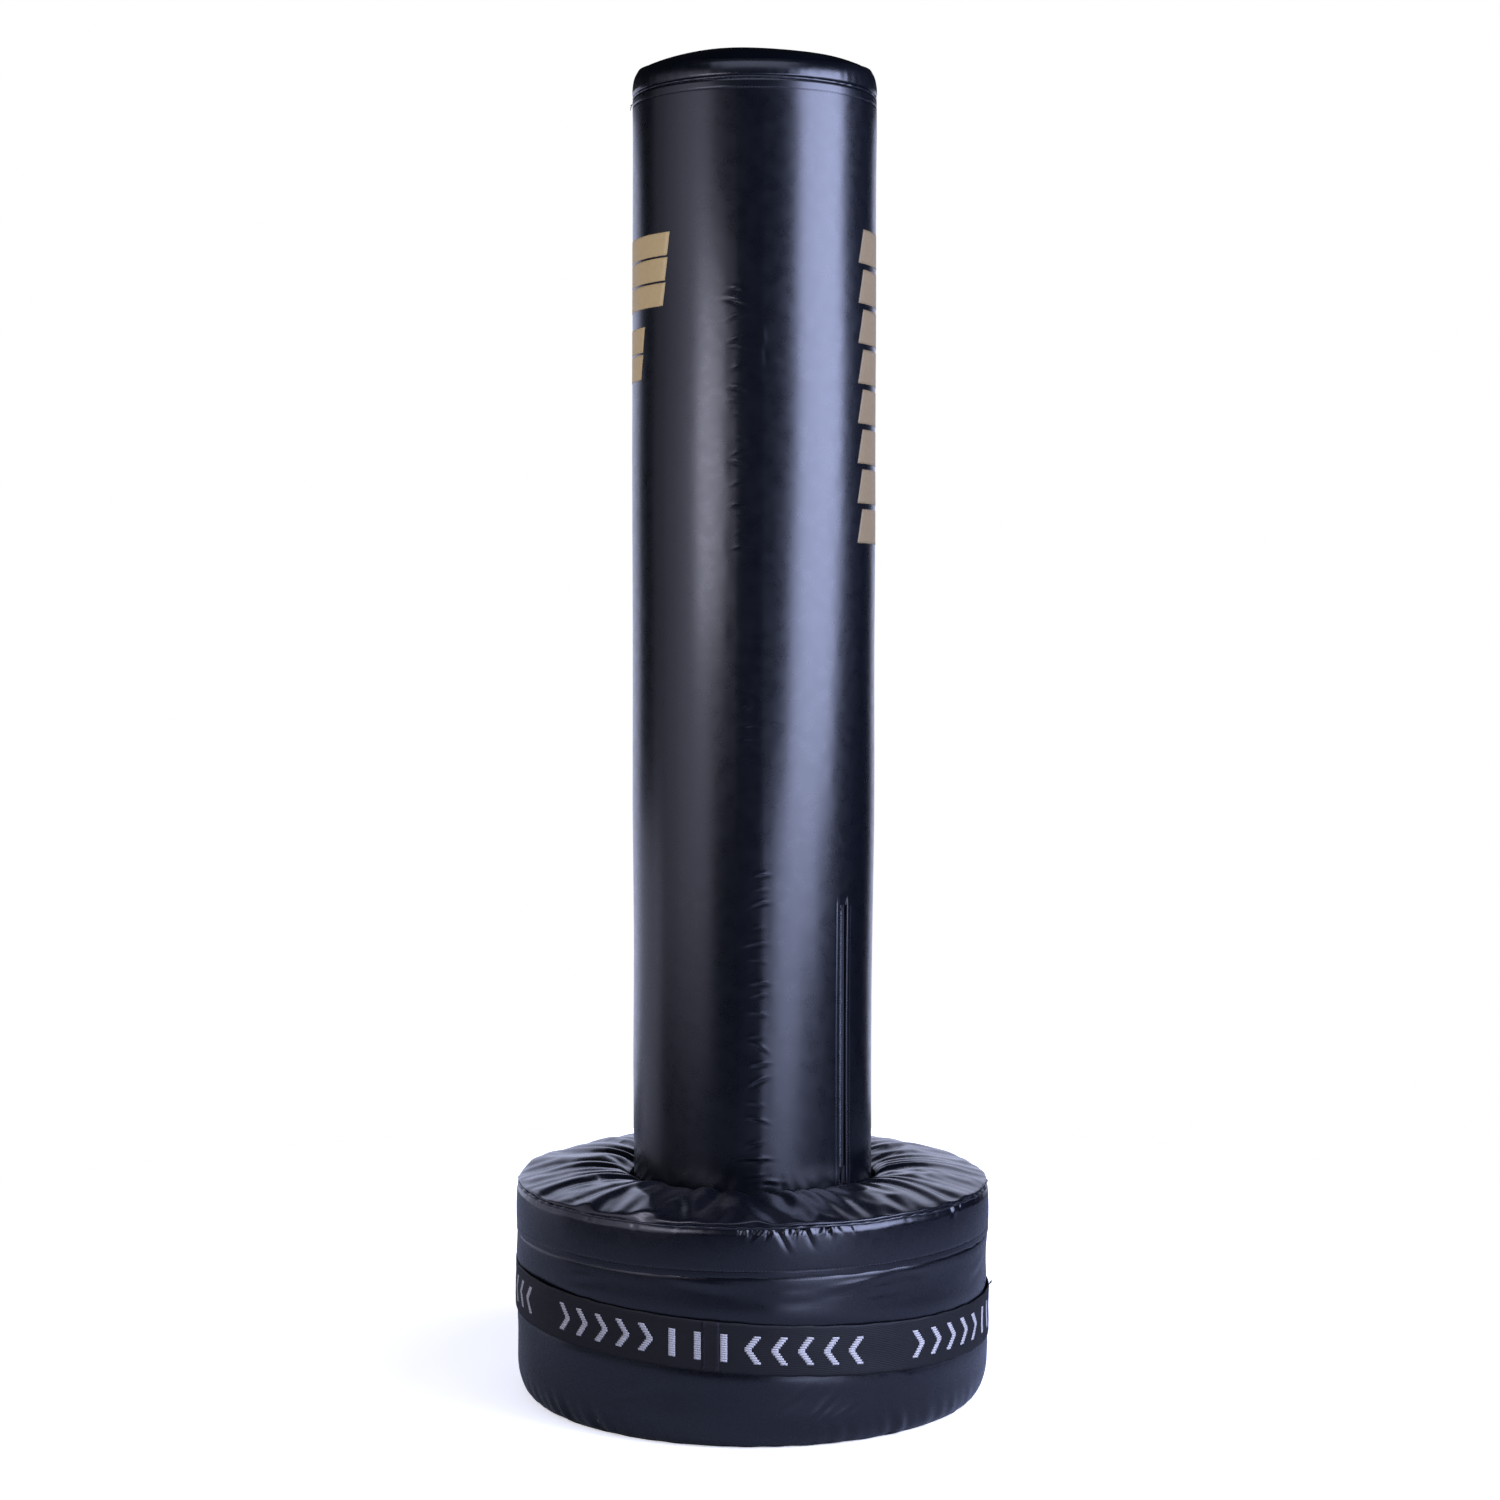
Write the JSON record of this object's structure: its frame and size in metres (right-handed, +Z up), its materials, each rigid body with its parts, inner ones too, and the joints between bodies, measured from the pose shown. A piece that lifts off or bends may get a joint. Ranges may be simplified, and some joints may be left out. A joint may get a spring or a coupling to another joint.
{
  "type": "free-standing punching bag",
  "caption": "Padded cylindrical punching bag in black vinyl on a sprung neck, standing on a round padded base with a filled tank.",
  "frame": {"origin": "centre of the round base on the floor", "axes": "+Z up along the bag, front towards -Y, left and right along X"},
  "size_m": [0.6236, 0.6236, 1.736],
  "materials": {
    "vinyl": "semi-gloss black synthetic leather",
    "webbing": "woven black elastic and tape",
    "foam": "rebonded foam",
    "inner_foam": "closed-cell foam",
    "tank_plastic": "moulded polyethylene",
    "pvc": "extruded PVC pipe",
    "rubber": "soft rubber",
    "steel": "zinc-plated steel",
    "zip_metal": "black-coated metal",
    "brass": "plain brass",
    "sand": "dry sand",
    "print": "satin gold transfer film"
  },
  "bodies": {
    "base": {"base_bottom_panel": "webbing", "base_cover_wall": "vinyl", "base_cover_band": "vinyl", "base_rim_seam": "vinyl", "base_cover_top": "vinyl", "collar_elastic": "webbing", "base_belt": "webbing", "belt_join": "webbing", "foam_side_ring": "foam", "foam_top_ring": "foam", "tank": "tank_plastic", "ballast_sand": "sand", "tank_inserts": "brass", "lower_flange": "steel", "flange_washers": "steel", "flange_bolts": "steel", "lower_spring": "steel"},
    "filler_cap": {"filler_cap": "tank_plastic", "filler_gasket": "rubber"},
    "neck_plate": {"spring_plate": "steel"},
    "bag": {"upper_spring": "steel", "upper_flange": "steel", "core_screws": "steel", "core_tube": "pvc", "core_top_cap": "tank_plastic", "foam_inner_sleeve": "inner_foam", "foam_outer_sleeve": "foam", "top_foam_pad": "foam", "bag_cover": "vinyl", "bag_cover_bottom": "vinyl", "bag_top_seam": "vinyl", "bag_top_band": "vinyl", "bag_top_panel": "vinyl", "zip_tape_left": "webbing", "zip_tape_right": "webbing", "zip_teeth": "zip_metal", "zip_top_stop": "zip_metal", "print_left_upper": "print", "print_left_lower": "print", "print_right": "print"},
    "zip_slider": {"zip_slider": "zip_metal"},
    "zip_pull": {"zip_pull": "zip_metal"}
  },
  "joints": [
    {"name": "tilt_front_back", "type": "hinge", "parent": "base", "child": "neck_plate", "pos_m": [0, 0, 0.279], "axis": [1, 0, 0], "range_deg": [-8, 8], "stiffness_Nm_per_rad": 3000, "deforming": ["lower_spring"]},
    {"name": "tilt_left_right", "type": "hinge", "parent": "neck_plate", "child": "bag", "pos_m": [0, 0, 0.279], "axis": [0, 1, 0], "range_deg": [-8, 8], "stiffness_Nm_per_rad": 3000, "deforming": ["upper_spring"]},
    {"name": "filler_cap_turn", "type": "hinge", "parent": "base", "child": "filler_cap", "pos_m": [0, 0.219, 0.24], "axis": [0, 0, 1], "range_deg": [0, 720]},
    {"name": "zip_slide", "type": "slide", "parent": "bag", "child": "zip_slider", "axis": [0, 0, 1], "range_m": [0, 0.325]},
    {"name": "zip_pull_swing", "type": "hinge", "parent": "zip_slider", "child": "zip_pull", "pos_m": [0.11553, -0.10587, 0.305], "axis": [-0.6756, -0.7373, 0], "range_deg": [0, 170]}
  ]
}
